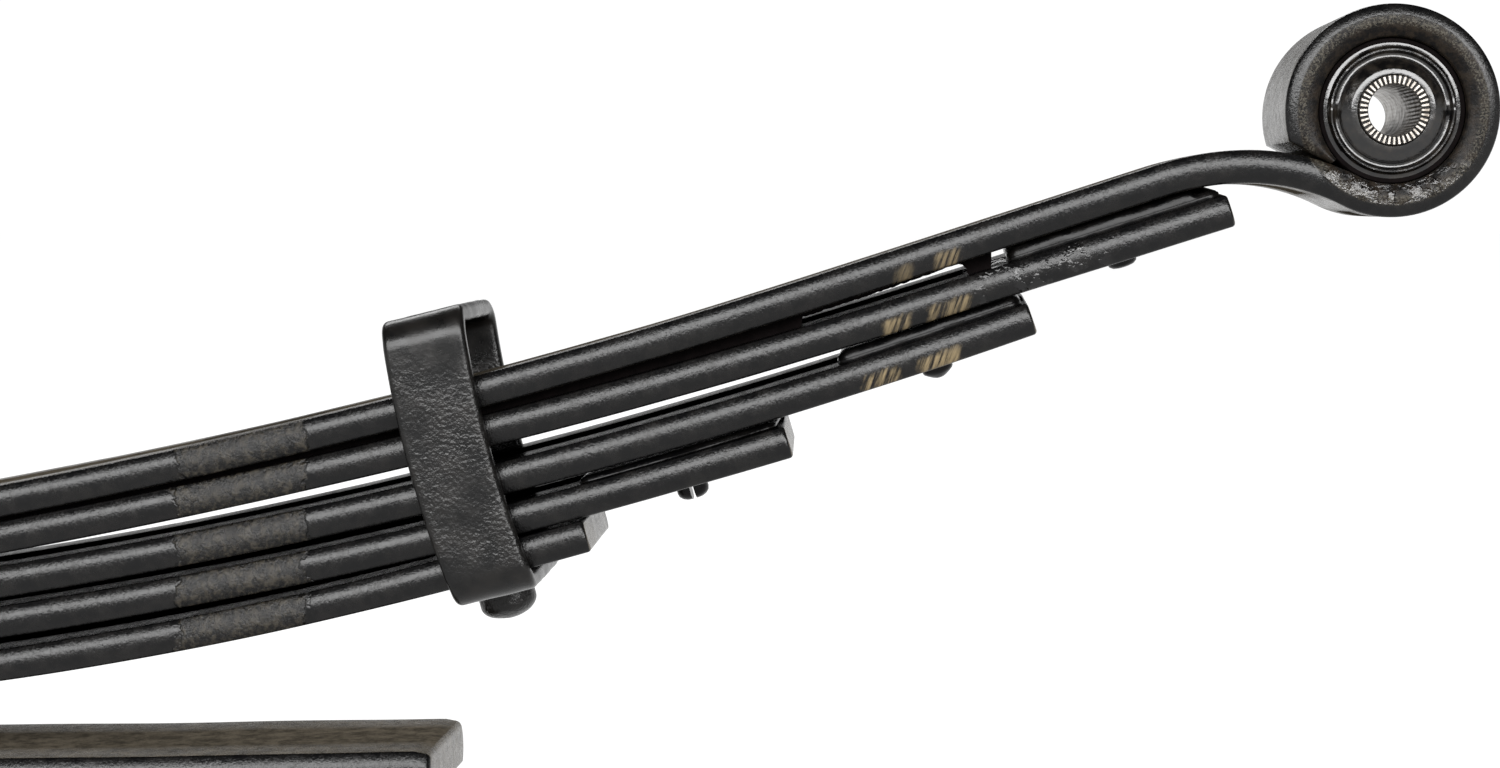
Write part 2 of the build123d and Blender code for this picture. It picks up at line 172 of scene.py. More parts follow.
def station_back(line, setback):
    """The station a distance back from the line's end, as (x, z, heading)."""
    left = setback
    for here, before in zip(line[::-1], line[-2::-1]):
        gap = math.hypot(here[0] - before[0], here[1] - before[1])
        if gap >= left:
            share = left / gap
            return tuple(h + (b - h) * share for h, b in zip(here, before))
        left -= gap
    return line[0]


def lifted(station, up, along=0.0):
    """A point off a centre line's station: up across the leaf and along it."""
    x, z, heading = station
    return (
        x - up * math.sin(heading) + along * math.cos(heading),
        z + up * math.cos(heading) + along * math.sin(heading),
    )


MAIN_LINE, EYE_Z = main_line()
SECOND_LINE = half_line(SECOND_HEIGHT, SECOND_BENDS, SECOND_TIP_X)
THIRD_LINE = half_line(THIRD_HEIGHT, THIRD_BENDS, THIRD_TIP_X)
FOURTH_LINE = half_line(FOURTH_HEIGHT, FOURTH_BENDS, FOURTH_TIP_X)
FIFTH_LINE = half_line(FIFTH_HEIGHT, FIFTH_BENDS, FIFTH_TIP_X)
HELPER_LINE = half_line(HELPER_HEIGHT, HELPER_BENDS, HELPER_TIP_X)

# ---------------------------------------------------------------- mesh helpers


def new_object(name, verts, faces, smooth_angle=40.0):
    """A mesh object from points in millimetres, smooth except at sharp edges."""
    mesh = bpy.data.meshes.new(name)
    mesh.from_pydata([(x * MM, y * MM, z * MM) for x, y, z in verts], [], faces)
    mesh.validate()
    mesh.update()
    mesh.shade_smooth()
    mesh.set_sharp_from_angle(angle=math.radians(smooth_angle))
    piece = bpy.data.objects.new(name, mesh)
    bpy.context.scene.collection.objects.link(piece)
    return piece


def rounded_profile(width, thickness, radius, corner_steps=9, flat_steps=10):
    """Closed outline (across, up) of a bar with rounded edges, anticlockwise from the lower right."""
    half_w, half_t = width / 2 - radius, thickness / 2 - radius
    points = []
    corners = ((half_w, -half_t, -90), (half_w, half_t, 0), (-half_w, half_t, 90), (-half_w, -half_t, 180))
    for cx, cy, start in corners:
        for i in range(corner_steps + 1):
            a = math.radians(start + 90 * i / corner_steps)
            points.append((cx + radius * math.cos(a), cy + radius * math.sin(a)))
        if start in (0, 180) and flat_steps:
            side = 1 if start == 0 else -1
            y = points[-1][1]
            points += [(side * half_w * (1 - 2 * j / flat_steps), y) for j in range(1, flat_steps)]
    return points


def bowed_profile(width, thickness, corner_steps=5, bow_steps=7, flat_steps=10):
    """Closed outline (across, up) of a round-edged bar: flat faces, bowed edges and small corners."""
    corner_radius = LEAF_CORNER_RADIUS
    bow = EDGE_BOW_RATIO * thickness
    centre = width / 2 - bow
    # the corner arc touches the flat face and the bow from inside
    corner_y = thickness / 2 - corner_radius
    corner_x = centre + math.sqrt((bow - corner_radius) ** 2 - corner_y ** 2)
    tilt = math.atan2(corner_y, corner_x - centre)
    quarter = []
    for i in range(bow_steps + 1):
        a = tilt * i / bow_steps
        quarter.append((centre + bow * math.cos(a), bow * math.sin(a)))
    for i in range(1, corner_steps + 1):
        a = tilt + (math.pi / 2 - tilt) * i / corner_steps
        quarter.append((corner_x + corner_radius * math.cos(a), corner_y + corner_radius * math.sin(a)))
    right = [(x, -y) for x, y in quarter[:0:-1]] + quarter
    flat = [(corner_x * (1 - 2 * j / flat_steps), thickness / 2) for j in range(1, flat_steps)]
    left = [(-x, -y) for x, y in right]
    return right + flat + left + [(-x, -y) for x, y in flat]


def loft(rings, closed=False, caps=True):
    """Verts and faces through rings of equal length; capped at both ends unless the loft closes."""
    verts = [p for ring in rings for p in ring]
    n = len(rings[0])
    faces = []
    for r in range(len(rings) - (0 if closed else 1)):
        a, b = r * n, ((r + 1) % len(rings)) * n
        faces += [(a + i, a + (i + 1) % n, b + (i + 1) % n, b + i) for i in range(n)]
    if caps and not closed:
        faces.append(tuple(range(n))[::-1])
        faces.append(tuple((len(rings) - 1) * n + i for i in range(n)))
    return verts, faces


def flipped(verts, faces):
    """The mirror image across the centre bolt, with its faces turned the right way out."""
    return [(-x, y, z) for x, y, z in verts], [f[::-1] for f in faces]


def twist_rise(x, y, twist):
    """How far a twist lifts the point over x, y."""
    share = min(1.0, max(0.0, (abs(x) - TWIST_START_X) / (TWIST_END_X - TWIST_START_X)))
    near, far = twist
    return share * share * (3 - 2 * share) * (near + (far - near) * (y / LEAF_WIDTH + 0.5))


def twisted(verts, twist):
    return [(x, y, z + twist_rise(x, y, twist)) for x, y, z in verts]


def skewed(verts, tip_x, skew):
    """A tip sheared a little out of square, over its last stretch."""
    def back(x, y):
        share = max(0.0, 1 - (tip_x - x) / TIP_SKEW_REACH)
        return share * skew * y / LEAF_WIDTH
    return [(x - back(x, y), y, z) for x, y, z in verts]


def wobble(x, y, z, size, amount, seed=0.0):
    """Smooth unevenness, amount millimetres at most, with features about size millimetres wide."""
    return amount * noise.noise(Vector((x / size + seed, y / size - seed, z / size + 2 * seed)))


def bar_rings(line, profile, tip_radius=0.0, plan_radius=None, uneven=0.12, seed=0.0):
    """Rings of a leaf along its centre line, the last few drawn in to a rounded end."""
    half_w = max(p[0] for p in profile)
    half_t = max(p[1] for p in profile)
    plan_radius = plan_radius or tip_radius
    places = [(station, 0.0, 0.0, 0.0) for station in line]
    if plan_radius:
        tip = line[-1]
        while math.hypot(places[-1][0][0] - tip[0], places[-1][0][1] - tip[1]) < plan_radius + 0.5:
            places.pop()
        turns = 8
        for i in range(turns + 1):
            a = math.radians(90 * i / turns)
            behind = plan_radius * (1 - math.sin(a))
            in_w = plan_radius * (1 - math.cos(a))
            lean = max(0.0, 1 - behind / tip_radius)
            in_t = tip_radius * (1 - math.sqrt(1 - lean * lean))
            places.append((tip, -behind, in_w, in_t))
    rings = []
    for station, along, in_w, in_t in places:
        ring = []
        for across, up in profile:
            v = across * (half_w - in_w) / half_w
            w = up * (half_t - in_t) / half_t
            x, z = lifted(station, w, along)
            w += wobble(x, v, z, 38.0, uneven, seed) * (1 if up > 0 else -1)
            v += wobble(x, v, z, 30.0, uneven * 1.6, seed + 7) * (1 if across > 0 else -1)
            x, z = lifted(station, w, along)
            ring.append((x, -v, z))
        rings.append(ring)
    return rings


def about_eye(radius, angle):
    """Point (x, z) at a radius from the eye's axis, its angle in degrees below the rearward level."""
    a = math.radians(angle)
    return EYE_X - radius * math.cos(a), EYE_Z - radius * math.sin(a)


def roll_end_rings(profile, turns=18):
    """The last of the rolled eye, cut on a slant so that it lies close over the leaf."""
    outer = about_eye(EYE_BORE_RADIUS + LEAF_THICKNESS, ROLL_END_OUTER_ANGLE)
    inner = about_eye(ROLL_END_INNER_RADIUS, ROLL_END_INNER_ANGLE)
    rings = []
    for i in range(1, turns + 1):
        angle = ROLL_END_OUTER_ANGLE + (ROLL_END_INNER_ANGLE - ROLL_END_OUTER_ANGLE) * i / turns
        dx, dz = math.cos(math.radians(angle)), math.sin(math.radians(angle))
        ax, az = EYE_X - outer[0], EYE_Z - outer[1]
        bx, bz = EYE_X - inner[0], EYE_Z - inner[1]
        reach = (ax * bz - az * bx) / (dx * (bz - az) - dz * (bx - ax))
        ring = []
        for across, up in profile:
            share = (LEAF_THICKNESS / 2 - up) / LEAF_THICKNESS
            x, z = about_eye(EYE_BORE_RADIUS + share * (reach - EYE_BORE_RADIUS), angle)
            ring.append((x, -across, z))
        rings.append(ring)
    return rings


def cut_away(piece, cutter):
    """Takes the cutter's shape out of the piece, for good."""
    taking = piece.modifiers.new("cut", "BOOLEAN")
    taking.operation, taking.solver, taking.object = "DIFFERENCE", "EXACT", cutter
    result = bpy.data.meshes.new_from_object(piece.evaluated_get(bpy.context.evaluated_depsgraph_get()))
    piece.modifiers.clear()
    piece.data = result
    bpy.data.objects.remove(cutter)
    return piece


def lathe(profile, segments, centre, offset=None):
    """Rings of (radius, along) turned about an axis along Y; offset(radius, along, angle) adds to along."""
    cx, cz = centre
    verts = []
    for radius, along in profile:
        for i in range(segments):
            a = 2 * math.pi * i / segments
            extra = offset(radius, along, a) if offset else 0.0
            verts.append((cx + radius * math.cos(a), along + extra, cz + radius * math.sin(a)))
    faces = []
    rows = len(profile)
    for r in range(rows - 1):
        for i in range(segments):
            j = (i + 1) % segments
            faces.append((r * segments + i, (r + 1) * segments + i, (r + 1) * segments + j, r * segments + j))
    return verts, faces


def solid_lathe(profile, segments, centre, face_side):
    """A turned solid whose outline starts and ends on its axis."""
    verts, faces = lathe([(max(r, 0.0), y) for r, y in profile[1:-1]], segments, centre)
    last = (len(profile) - 3) * segments
    faces.append(tuple(range(segments)))
    faces.append(tuple(last + i for i in range(segments))[::-1])
    return verts, faces if face_side < 0 else [f[::-1] for f in faces]


def closed_lathe(profile, segments, centre, offset=None):
    """A lathe whose outline closes on itself, for rings and sleeves."""
    verts, faces = lathe(profile, segments, centre, offset)
    last = (len(profile) - 1) * segments
    for i in range(segments):
        j = (i + 1) % segments
        faces.append((last + i, i, j, last + j))
    return verts, faces


# ---------------------------------------------------------------- materials


class Nodes:
    """Short calls for building a node material."""

    def __init__(self, name):
        self.material = bpy.data.materials.new(name)
        self.material.use_nodes = True
        self.tree = self.material.node_tree
        self.shader = self.tree.nodes["Principled BSDF"]
        self.coords = self.tree.nodes.new("ShaderNodeTexCoord").outputs["Object"]

    def new(self, kind, **inputs):
        node = self.tree.nodes.new(kind)
        for key, value in inputs.items():
            self.put(node, key.replace("_", " "), value)
        return node

    def put(self, node, key, value):
        socket = node.inputs[int(key[1:]) if key[0] == "i" and key[1:].isdigit() else key]
        if isinstance(value, bpy.types.NodeSocket):
            self.tree.links.new(value, socket)
        else:
            socket.default_value = value

    def noise(self, scale, detail=3.0, rough=0.55, coords=None):
        node = self.new("ShaderNodeTexNoise", Vector=coords or self.coords, Scale=scale, Detail=detail)
        self.put(node, "Roughness", rough)
        self.put(node, "Distortion", 0.0)
        return node.outputs["Fac"]

    def stretched(self, sx, sy, sz):
        node = self.new("ShaderNodeMapping", Vector=self.coords)
        node.inputs["Scale"].default_value = (sx, sy, sz)
        return node.outputs["Vector"]

    def slanted(self, sx, sy, sz):
        """Stretched coordinates, leaning so that streaks run askew across a leaf."""
        lean = self.math("MULTIPLY", self.axis("Z"), -0.35)
        skew = self.new("ShaderNodeCombineXYZ", X=self.math("ADD", self.axis("X"), lean), Y=self.axis("Y"))
        self.put(skew, "Z", self.axis("Z"))
        node = self.new("ShaderNodeMapping", Vector=skew.outputs[0])
        node.inputs["Scale"].default_value = (sx, sy, sz)
        return node.outputs["Vector"]

    def math(self, kind, a, b=0.0):
        node = self.new("ShaderNodeMath", i0=a, i1=b)
        node.operation = kind
        return node.outputs[0]

    def span(self, value, low, high, out_low=0.0, out_high=1.0):
        """Maps low to high smoothly on to out_low to out_high, and holds it beyond them."""
        node = self.new("ShaderNodeMapRange", Value=value)
        node.interpolation_type = "SMOOTHSTEP"
        for key, number in (("From Min", low), ("From Max", high), ("To Min", out_low), ("To Max", out_high)):
            self.put(node, key, number)
        return node.outputs["Result"]

    def between(self, value, low, high, soft):
        """1 between low and high, 0 outside, with soft edges."""
        rise = self.span(value, low - soft, low + soft)
        fall = self.span(value, high - soft, high + soft, 1.0, 0.0)
        return self.math("MULTIPLY", rise, fall)

    def mix(self, factor, a, b):
        node = self.tree.nodes.new("ShaderNodeMix")
        node.data_type = "RGBA"
        for index, value in ((0, factor), (6, a), (7, b)):
            if isinstance(value, bpy.types.NodeSocket):
                self.tree.links.new(value, node.inputs[index])
            else:
                node.inputs[index].default_value = value
        return node.outputs[2]

    def axis(self, which, coords=None):
        node = self.new("ShaderNodeSeparateXYZ", Vector=coords or self.coords)
        return node.outputs[which]

    def facing(self, which):
        """One part of the surface normal, in the spring's own frame."""
        geometry = self.tree.nodes.new("ShaderNodeNewGeometry")
        return self.axis(which, geometry.outputs["Normal"])

    def bump(self, layers):
        """Chains bump layers of (height, strength, distance in metres)."""
        normal = None
        for height, strength, distance in layers:
            node = self.new("ShaderNodeBump", Height=height, Strength=strength, Distance=distance)
            if normal:
                self.put(node, "Normal", normal)
            normal = node.outputs["Normal"]
        self.put(self.shader, "Normal", normal)


PAINT_GLOSS = 0.21


def rgba(r, g, b):
    return (r, g, b, 1.0)


def eye_distance(n):
    """Distance from the nearer eye's axis, in metres, in a material."""
    dx = n.math("SUBTRACT", n.math("ABSOLUTE", n.axis("X")), EYE_X * MM)
    dz = n.math("SUBTRACT", n.axis("Z"), EYE_Z * MM)
    return n.math("SQRT", n.math("ADD", n.math("MULTIPLY", dx, dx), n.math("MULTIPLY", dz, dz)))


def leaf_paint(name, grain=1.0, scuffs=(), banded=False, eyes=False, wet_from=0.0, dusty_and_sheened=False):
    """Black semi-gloss paint over shot-peened spring steel, with scuffs, a rough band and drips, and painted
    light: a sheen with the dust, shade on flat faces and a highlight on the eyes' rims.
    """
    n = Nodes(name)
    peen = n.noise(1250.0, 3.0, 0.6)
    grit = n.noise(2600.0, 2.0, 0.5)
    sag = n.noise(60.0, 3.0, 0.5)
    mottle = n.noise(210.0, 5.0, 0.65)
    along = n.math("ABSOLUTE", n.axis("X"))
    up = n.facing("Z")
    colour = n.mix(n.span(mottle, 0.35, 0.75), rgba(0.0010, 0.0010, 0.0011), rgba(0.0034, 0.0031, 0.0029))
    rough = n.math("ADD", n.span(mottle, 0.3, 0.75, 0.2, 0.31), n.span(peen, 0.35, 0.65, -0.05, 0.05))
    layers = [(sag, 0.3, 0.0004), (peen, 0.7 * grain, 0.00016), (grit, 0.5 * grain, 0.00005)]
    # a thin brown-grey film of dust, its colour also a painted sheen that lightens the faces catching light:
    # on the cut ends, and all round the open faces of a dusty leaf
    flat = n.span(n.math("ABSOLUTE", n.facing("X")), 0.75, 0.9)
    if dusty_and_sheened:
        flat = n.span(n.math("ABSOLUTE", n.facing("Y")), 0.35, 0.1)
    dust_and_sheen = n.math("MULTIPLY", flat, n.span(n.noise(170.0, 6.0, 0.8), 0.35, 0.65, 0.35, 1.0))
    if eyes:
        # the barrel of the eye keeps less of the dust and painted sheen
        dust_and_sheen = n.math("MULTIPLY", dust_and_sheen, n.span(eye_distance(n), 0.029, 0.033, 0.5, 1.0))
    # dust and painted sheen: the light brown-grey colour laid on the faces picked above
    colour = n.mix(dust_and_sheen, colour, rgba(0.062, 0.053, 0.040))
    if banded:
        # where the leaf hung in the paint line: rougher, browner, with a dark ridge at each end
        ragged = n.math("MULTIPLY", n.math("SUBTRACT", n.noise(160.0, 3.0), 0.5), 0.012)
        x = n.math("ADD", along, ragged)
        patch = n.between(x, 0.3625, 0.3995, 0.0006)
        ridge = n.math("MAXIMUM", n.between(x, 0.3617, 0.3627, 0.0004), n.between(x, 0.3993, 0.4004, 0.0004))
        crust = n.noise(1.0, 5.0, 0.75, coords=n.stretched(560.0, 460.0, 460.0))
        tone = n.mix(n.span(crust, 0.44, 0.64), rgba(0.0015, 0.0014, 0.0013), rgba(0.034, 0.0290, 0.021))
        colour = n.mix(n.math("MULTIPLY", patch, 0.45), colour, tone)
        broken_ridge = n.math("MULTIPLY", ridge, n.span(n.noise(500.0), 0.4, 0.6))
        colour = n.mix(broken_ridge, colour, rgba(0.0005, 0.0005, 0.0005))
        rough = n.math("ADD", rough, n.math("MULTIPLY", patch, 0.03))
        layers.append((n.math("MULTIPLY", n.math("SUBTRACT", crust, ridge), patch), 0.8, 0.0007))
    for start, end, strength in scuffs:
        # tan scuffs rubbed through to the primer, drawn across the leaf, on its lower side
        hairs = n.noise(1.0, 5.0, 0.7, coords=n.slanted(900.0, 90.0, 60.0))
        where = n.between(n.math("ADD", along, n.math("MULTIPLY", n.noise(300.0), 0.003)), start, end, 0.0012)
        low = n.span(n.math("ADD", up, n.math("MULTIPLY", n.noise(400.0), 0.35)), 0.25, -0.05)
        scuff = n.math("MULTIPLY", n.math("MULTIPLY", n.span(hairs, 0.36, 0.62), where), low)
        colour = n.mix(n.math("MULTIPLY", scuff, strength), colour, rgba(0.125, 0.095, 0.052))
        rough = n.math("ADD", rough, n.math("MULTIPLY", scuff, 0.2))
    # the flat faces are dull, but for a trace of gloss at their edges
    lying = n.span(n.math("ABSOLUTE", up), 0.85, 0.95)
    middle = n.span(n.math("ABSOLUTE", n.axis("Y")), 0.012, 0.031, 1.0, 0.93)
    gloss = n.math("MULTIPLY", n.math("SUBTRACT", 1.0, n.math("MULTIPLY", lying, middle)), PAINT_GLOSS)
    # painted shade: on leaves without the dust film, the flat tops and bottoms, which lie in the gaps between
    # the leaves, are darkened almost to black
    if not dusty_and_sheened:
        colour = n.mix(n.math("MULTIPLY", lying, 0.8), colour, rgba(0.0003, 0.0003, 0.0003))
    if wet_from:
        # thick glossy paint that ran together near the pad
        wet = n.between(along, wet_from, 0.6225, 0.004)
        blobs = n.math("MULTIPLY", wet, n.span(n.noise(190.0, 3.0), 0.52, 0.6))
        rough = n.math("SUBTRACT", rough, n.math("MULTIPLY", blobs, 0.16))
        gloss = n.math("ADD", gloss, n.math("MULTIPLY", blobs, 0.12))
        layers.append((n.math("MULTIPLY", n.noise(560.0, 3.0, 0.6), blobs), 0.8, 0.0004))
    if eyes:
        # the spot-faced sides of the eyes: dull brown paint inside a rim with a painted grainy highlight, wet
        # at the bottom
        distance = eye_distance(n)
        face = n.span(distance, SPOT_FACE_RADIUS * MM + 0.0004, SPOT_FACE_RADIUS * MM - 0.0002)
        cloudy = n.span(n.noise(330.0, 5.0, 0.7), 0.4, 0.62)
        rusty = n.mix(cloudy, rgba(0.0015, 0.0013, 0.0012), rgba(0.0085, 0.0062, 0.0042))
        colour = n.mix(n.math("MULTIPLY", face, 0.8), colour, rusty)
        rim = n.between(distance, 0.0234, 0.0259, 0.0005)
        glint = n.math("MULTIPLY", rim, n.span(n.noise(1900.0, 3.0, 0.7), 0.46, 0.62))
        # painted highlight: lighter grainy specks of colour round the rim of the spot face
        colour = n.mix(glint, colour, rgba(0.030, 0.027, 0.021))
        below = n.span(n.axis("Z"), (EYE_Z - 13) * MM, (EYE_Z - 18) * MM)
        pool = n.math("MULTIPLY", n.math("MULTIPLY", face, below), n.span(n.noise(230.0, 3.0), 0.4, 0.52))
        dull = n.math("MULTIPLY", n.math("SUBTRACT", face, pool), 0.14)
        rough = n.math("SUBTRACT", n.math("ADD", rough, dull), n.math("MULTIPLY", pool, 0.16))
        gloss = n.math("ADD", n.math("SUBTRACT", gloss, dull), n.math("MULTIPLY", pool, 0.17))
        layers.append((n.math("MULTIPLY", n.noise(620.0, 3.0, 0.6), pool), 1.0, 0.0006))
        layers.append((n.math("MULTIPLY", n.noise(330.0, 4.0, 0.65), face), 0.35, 0.0003))
    n.put(n.shader, "Base Color", colour)
    n.put(n.shader, "Roughness", rough)
    n.put(n.shader, "Specular IOR Level", gloss)
    n.bump(layers)
    return n.material


def clip_paint(name, low_z=0.070, high_z=0.126):
    """The same black paint, thick and leathery on the straps' middles, smoother over the bends."""
    n = Nodes(name)
    mottle = n.noise(110.0, 4.0, 0.6)
    leather = n.math("MULTIPLY", n.noise(900.0, 2.0, 0.5), n.span(n.noise(55.0, 2.0), 0.3, 0.6, 0.45, 1.0))
    fine = n.noise(1900.0, 3.0, 0.6)
    colour = n.mix(n.span(mottle, 0.35, 0.7), rgba(0.0013, 0.0013, 0.0013), rgba(0.0042, 0.0037, 0.0033))
    middle = n.between(n.axis("Z"), low_z, high_z, 0.006)
    height = n.math("MULTIPLY", leather, n.math("ADD", n.math("MULTIPLY", middle, 0.85), 0.15))
    n.put(n.shader, "Base Color", colour)
    n.put(n.shader, "Roughness", n.span(mottle, 0.3, 0.7, 0.24, 0.34))
    n.put(n.shader, "Specular IOR Level", PAINT_GLOSS)
    n.bump([(n.noise(60.0, 2.0), 0.3, 0.0006), (height, 0.85, 0.0004), (fine, 0.35, 0.00008)])
    return n.material


def shaded_paint(name):
    """A shaded copy of the black paint, dull and without reflection, as painted shade in the recesses: sagged
    between two leaves, or on the end of a bush shell.
    """
    n = Nodes(name)
    n.put(n.shader, "Base Color", n.mix(n.noise(300.0), rgba(0.001, 0.001, 0.001), rgba(0.004, 0.003, 0.003)))
    n.put(n.shader, "Roughness", n.span(n.noise(400.0), 0.3, 0.7, 0.5, 0.7))
    n.put(n.shader, "Specular IOR Level", 0.0)
    n.bump([(n.noise(450.0, 4.0), 0.5, 0.0005)])
    return n.material


def rubber_material():
    """Moulded rubber with a film of overspray."""
    n = Nodes("bush_rubber")
    cloud = n.noise(260.0, 4.0, 0.6)
    colour = n.mix(n.span(cloud, 0.4, 0.7), rgba(0.0010, 0.0009, 0.0009), rgba(0.0060, 0.0047, 0.0034))
    n.put(n.shader, "Base Color", colour)
    n.put(n.shader, "Roughness", n.span(cloud, 0.3, 0.7, 0.14, 0.26))
    n.put(n.shader, "Specular IOR Level", 0.5)
    n.bump([(n.noise(380.0, 4.0), 0.35, 0.00035), (n.noise(2200.0, 2.0), 0.2, 0.0001)])
    return n.material


def sleeve_material():
    """Bare turned steel, a little dull, with paint left in the serrations."""
    n = Nodes("sleeve_steel")
    cloud = n.noise(300.0, 4.0, 0.6)
    half = SLEEVE_LENGTH / 2 * MM
    depth = n.math("SUBTRACT", half, n.math("ABSOLUTE", n.axis("Y")))
    dirt = n.between(depth, 0.00022, 0.0010, 0.00012)
    colour = n.mix(n.span(cloud, 0.45, 0.75), rgba(0.24, 0.225, 0.205), rgba(0.10, 0.085, 0.07))
    colour = n.mix(dirt, colour, rgba(0.004, 0.0035, 0.003))
    n.put(n.shader, "Metallic", n.span(dirt, 0.0, 1.0, 1.0, 0.1))
    n.put(n.shader, "Base Color", colour)
    n.put(n.shader, "Roughness", n.span(cloud, 0.3, 0.7, 0.28, 0.45))
    turned = n.noise(1.0, 2.0, 0.5, coords=n.stretched(200.0, 4200.0, 200.0))
    n.bump([(turned, 0.25, 0.0002), (n.noise(900.0, 3.0), 0.2, 0.0002)])
    return n.material


def plastic_material():
    """Black plastic, faintly moulded, splashed with paint."""
    n = Nodes("pad_plastic")
    cloud = n.noise(180.0, 4.0, 0.6)
    colour = n.mix(n.span(cloud, 0.4, 0.7), rgba(0.0008, 0.0008, 0.0009), rgba(0.0026, 0.0023, 0.0021))
    n.put(n.shader, "Base Color", colour)
    n.put(n.shader, "Roughness", n.span(cloud, 0.3, 0.7, 0.15, 0.28))
    n.put(n.shader, "Specular IOR Level", PAINT_GLOSS / 2)
    n.bump([(n.noise(420.0, 4.0), 0.4, 0.0003), (n.noise(2600.0, 2.0), 0.2, 0.0001)])
    return n.material


MAIN_SCUFFS = ((0.5657, 0.5706, 0.35), (0.5767, 0.5835, 0.55))
SECOND_SCUFFS = ((0.5629, 0.5698, 0.7), (0.5753, 0.5863, 0.65))
THIRD_SCUFFS = ((0.5574, 0.5670, 0.9), (0.5725, 0.5835, 0.8))
MAIN_PAINT = leaf_paint("main_leaf_paint", scuffs=MAIN_SCUFFS, banded=True, eyes=True, dusty_and_sheened=True)
SECOND_PAINT = leaf_paint("second_leaf_paint", scuffs=SECOND_SCUFFS, banded=True, wet_from=0.587)
LEAF_PAINT = leaf_paint("leaf_paint", scuffs=THIRD_SCUFFS, banded=True)
PLAIN_PAINT = leaf_paint("helper_paint", grain=1.2, dusty_and_sheened=True)
CLIP_PAINT = clip_paint("clip_paint")
FASTENER_PAINT = clip_paint("fastener_paint", -1.0, 1.0)
# painted shade: the bush shell's end and the paint webs take the shaded copy of the paint
SHELL_PAINT = shaded_paint("shell_paint")
WEB_PAINT = shaded_paint("web_paint")
RUBBER = rubber_material()
SLEEVE_STEEL = sleeve_material()
PLASTIC = plastic_material()

# ---------------------------------------------------------------- finishing each piece


def dress(piece, material):
    piece.data.materials.clear()
    piece.data.materials.append(material)
    return piece


def flex(piece):
    """Bakes the piece's placement into its mesh."""
    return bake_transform(piece)


def both_ends(name, verts, faces, material, node=None, each_node=None, smooth_angle=40.0, bend=True):
    """A piece of the front half and its mirror image, each with its placement baked into its mesh when bend
    is set.
    """
    made = []
    for side in ("front", "rear"):
        v, f = (verts, faces) if side == "front" else flipped(verts, faces)
        piece = dress(new_object(f"{side}_{name}", v, f, smooth_angle), material)
        if bend:
            flex(piece)
        if node:
            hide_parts(node)
        if each_node:
            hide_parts(f"{side}_{each_node}")
        made.append(piece)
    return made


# ---------------------------------------------------------------- leaves

LEAF_PROFILE = bowed_profile(LEAF_WIDTH, LEAF_THICKNESS)
TIP_RADIUS = 1.1

rings = bar_rings(MAIN_LINE, LEAF_PROFILE, seed=1.3) + roll_end_rings(LEAF_PROFILE)
verts, faces = loft(rings)
main_halves = both_ends(
    "half_of_main_leaf", verts, faces, MAIN_PAINT, node="main_leaf", bend=False
)
for piece in main_halves:
    side = piece.name.split("_")[0]
    sign = 1 if side == "front" else -1
    for face_side in (-1, 1):
        near = LEAF_WIDTH / 2 - SPOT_FACE_DEPTH
        far = near + SPOT_FACE_CUTTER_LENGTH
        outline = [(0.0, near), (SPOT_FACE_RADIUS, near), (SPOT_FACE_RADIUS, far), (0.0, far)]
        v, f = solid_lathe([(r, face_side * y) for r, y in outline], 180, (sign * EYE_X, EYE_Z), face_side)
        cut_away(piece, new_object("cutter", v, f))
    piece.data.set_sharp_from_angle(angle=math.radians(40))
    flex(piece)

for node, line, material, seed, twist, skew in (
    ("second_leaf", SECOND_LINE, SECOND_PAINT, 2.9, SECOND_TWIST, 0.0),
    ("third_leaf", THIRD_LINE, LEAF_PAINT, 4.1, THIRD_TWIST, 0.0),
    ("fourth_leaf", FOURTH_LINE, LEAF_PAINT, 5.7, FOURTH_TWIST, FOURTH_TIP_SKEW),
    ("fifth_leaf", FIFTH_LINE, LEAF_PAINT, 7.2, (0.0, 0.0), FIFTH_TIP_SKEW),
):
    verts, faces = loft(bar_rings(line, LEAF_PROFILE, TIP_RADIUS, seed=seed))
    verts = skewed(twisted(verts, twist), line[-1][0], skew)
    both_ends(f"half_of_{node}", verts, faces, material, node=node)


def height_at(line, x, up):
    """Height of a leaf's surface at x, up from its centre line."""
    for here, beyond in zip(line, line[1:]):
        if here[0] <= x <= beyond[0] and beyond[0] > here[0]:
            share = (x - here[0]) / (beyond[0] - here[0])
            heading = here[2] + share * (beyond[2] - here[2])
            return here[1] + share * (beyond[1] - here[1]) + up / math.cos(heading)
    return line[-1][1] + up


WEB_START_X = SEAT_HALF_LENGTH + 20.0
WEB_INSET = 8.0
WEB_THICKNESS = 2.0
WEB_OVERLAP = 0.4
WEB_STEP = 0.5
CLOSED = 9.0  # a hang deeper than the gap, which closes it
# (x, how far the paint hangs below the main leaf) where the near web is torn open, closed up to there
NEAR_TEAR = [
    (538, 1.2), (556, 1.1), (564, 0.9), (575, 0.6), (579, 0.3), (582, 0.4),
    (583.4, 1.3), (584.4, 3), (585, CLOSED), (590.4, CLOSED), (591.4, 1),
]
FAR_TEAR = [(530, CLOSED), (536, 1.5)]


def hang_at(tear, x):
    """How far the paint hangs at x, from the listed places."""
    if x <= tear[0][0]:
        return CLOSED
    for (x0, hang0), (x1, hang1) in zip(tear, tear[1:]):
        if x <= x1:
            return hang0 + (hang1 - hang0) * (x - x0) / (x1 - x0)
    return tear[-1][1]


